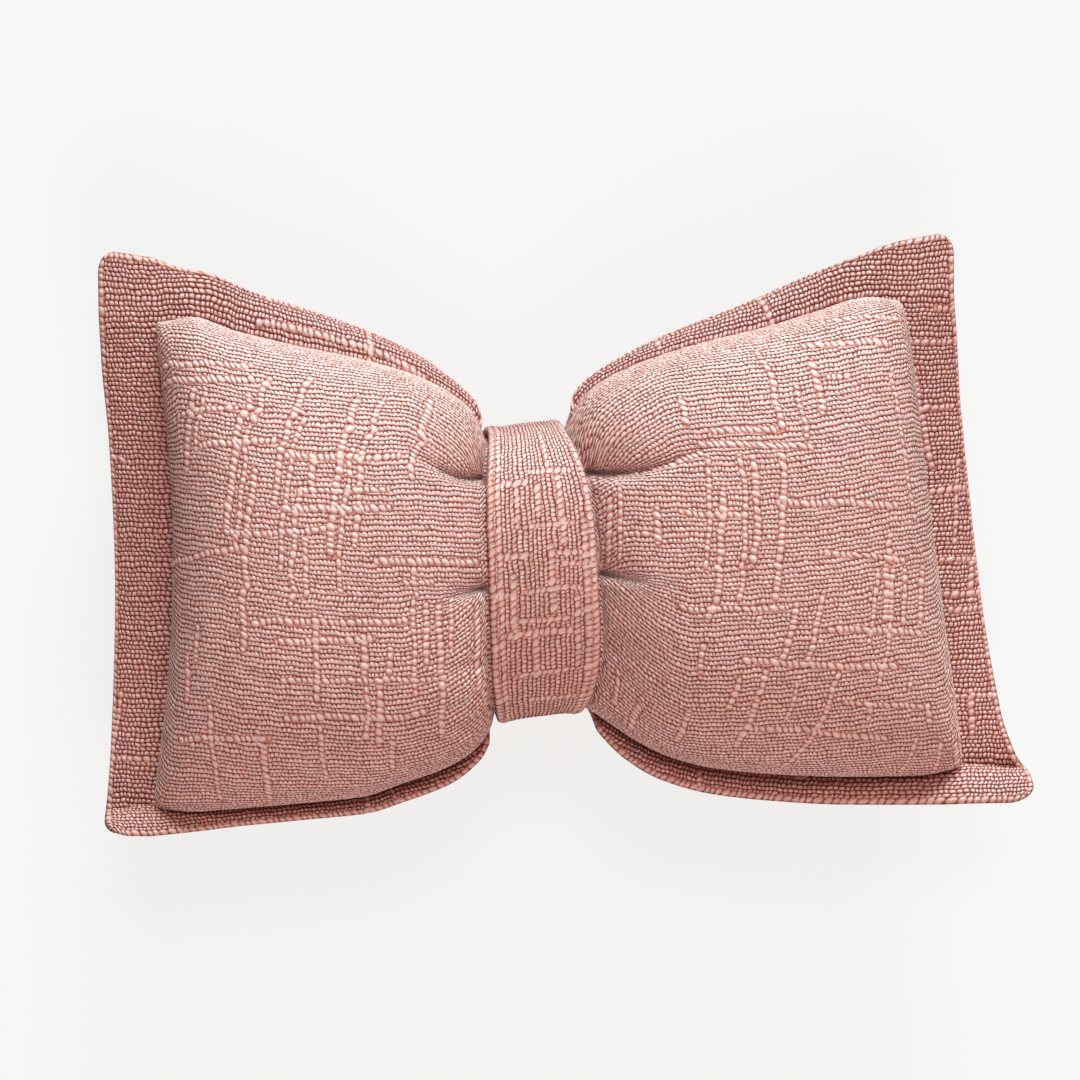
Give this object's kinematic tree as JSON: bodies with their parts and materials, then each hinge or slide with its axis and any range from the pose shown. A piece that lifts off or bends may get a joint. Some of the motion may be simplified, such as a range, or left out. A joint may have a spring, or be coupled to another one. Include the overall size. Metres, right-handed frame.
{
  "type": "bow-shaped pillow",
  "caption": "Stuffed rectangular pillow with a flat flange border, drawn in at its middle by a cloth band so that it takes the shape of a bow.",
  "frame": {"origin": "on the surface the pillow lies on, below the middle of its bounding box", "axes": "+X along the pillow's length, +Y up its face, +Z out of its face, so that the pillow lies on its back"},
  "size_m": [0.5632, 0.3568, 0.147],
  "materials": {
    "cover_cloth": "thick slubbed cotton weave in dusty pink",
    "band_cloth": "the cover's cloth with its rows turned across the band"
  },
  "bodies": {
    "root": {"cushion": "cover_cloth", "band": "band_cloth"}
  },
  "joints": []
}
